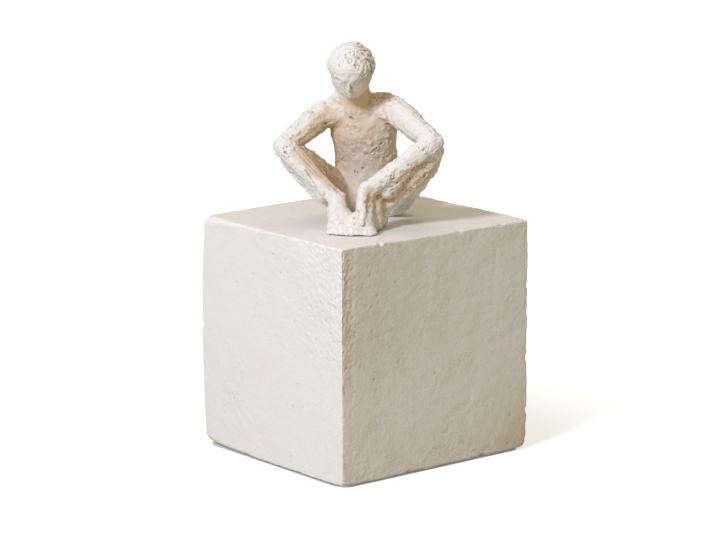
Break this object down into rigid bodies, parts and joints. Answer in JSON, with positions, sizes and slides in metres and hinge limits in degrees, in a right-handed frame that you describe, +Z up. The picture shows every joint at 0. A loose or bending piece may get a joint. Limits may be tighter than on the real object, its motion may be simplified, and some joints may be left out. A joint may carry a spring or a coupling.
{
  "type": "zodiac figurine",
  "caption": "Cream-white cast ornament: a slim young figure squats on a rough square block, elbows on splayed knees, head bowed, hands on the feet.",
  "frame": {"origin": "middle of the underside, on the surface that the felt pads stand on", "axes": "+Z up; the block's four faces lie along X and Y; the figure faces between -X and -Y, towards the block's front corner"},
  "size_m": [0.12, 0.113, 0.2087],
  "materials": {
    "cast_plaster": "matte, rough with tool marks and casting pits, tan in the hollows",
    "steel_pin": "plain turned rod",
    "base_board": "raw fibreboard",
    "felt": "matte felt"
  },
  "bodies": {
    "root": {"plinth_shell": "cast_plaster", "torso": "cast_plaster", "head": "cast_plaster", "left_arm": "cast_plaster", "right_arm": "cast_plaster", "left_leg": "cast_plaster", "right_leg": "cast_plaster", "neck_pin": "steel_pin", "left_shoulder_pin": "steel_pin", "right_shoulder_pin": "steel_pin", "left_hip_pin": "steel_pin", "right_hip_pin": "steel_pin", "left_foot_dowel": "steel_pin", "right_foot_dowel": "steel_pin", "seat_dowel": "steel_pin", "base_board": "base_board", "felt_pad_front": "felt", "felt_pad_right": "felt", "felt_pad_left": "felt", "felt_pad_back": "felt"}
  },
  "joints": []
}
